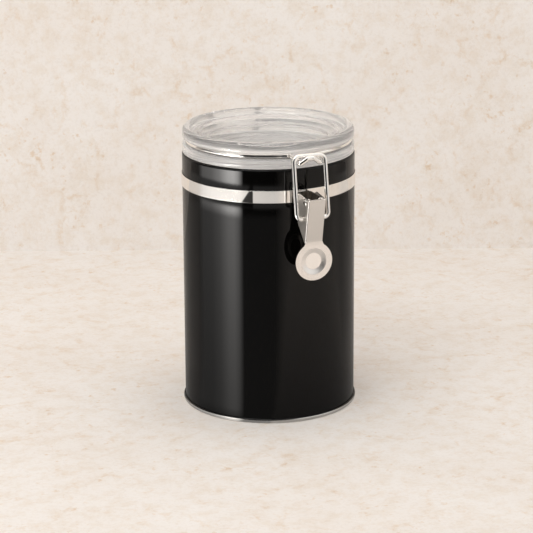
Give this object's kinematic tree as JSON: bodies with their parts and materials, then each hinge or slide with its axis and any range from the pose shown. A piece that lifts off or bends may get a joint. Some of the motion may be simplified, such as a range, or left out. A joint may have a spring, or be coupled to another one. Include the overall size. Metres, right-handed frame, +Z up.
{
  "type": "tea tin with clamp lid",
  "caption": "Tall round lacquered tin with a bright band, a clear dished lid and an over-centre wire clamp in front, hinged behind.",
  "frame": {"origin": "on the ground, below the middle of the bounding box; the tin's own axis is 6.05 mm towards +Y", "axes": "+Z up, latch towards -Y, hinge towards +Y"},
  "size_m": [0.101, 0.1307, 0.1633],
  "materials": {
    "black_lacquer": "gloss black lacquer on tinplate",
    "bare_tinplate": "bare tinplate",
    "bright_steel": "mirror-bright stainless sheet",
    "satin_steel": "satin stainless sheet",
    "polished_wire": "polished stainless wire",
    "clear_plastic": "clear moulded plastic",
    "soft_seal": "translucent soft seal"
  },
  "bodies": {
    "tin": {"tin_body": "black_lacquer", "base_end": "bare_tinplate", "clamp_band": "bright_steel", "latch_bracket": "bright_steel", "hinge_bracket": "bright_steel", "pivot_pin": "bright_steel"},
    "lid": {"clear_lid": "clear_plastic", "lid_gasket": "soft_seal", "lid_wire": "polished_wire"},
    "lever": {"latch_lever": "satin_steel"},
    "bail": {"latch_bail": "polished_wire"}
  },
  "joints": [
    {"name": "lid_open", "type": "hinge", "parent": "tin", "child": "lid", "pos_m": [0, 0.06255, 0.148], "axis": [-1, 0, 0], "range_deg": [0, 105]},
    {"name": "latch_lever_turn", "type": "hinge", "parent": "tin", "child": "lever", "pos_m": [0, -0.06095, 0.1335], "axis": [-1, 0, 0], "range_deg": [0, 116]},
    {"name": "latch_bail_turn", "type": "hinge", "parent": "lever", "child": "bail", "pos_m": [0, -0.05855, 0.1238], "axis": [1, 0, 0], "range_deg": [0, 151]}
  ],
  "couplings": [
    {"joint": "latch_lever_turn", "follows": "lid_open", "ratio": 1.1},
    {"joint": "latch_bail_turn", "follows": "lid_open", "ratio": 1.4286}
  ]
}
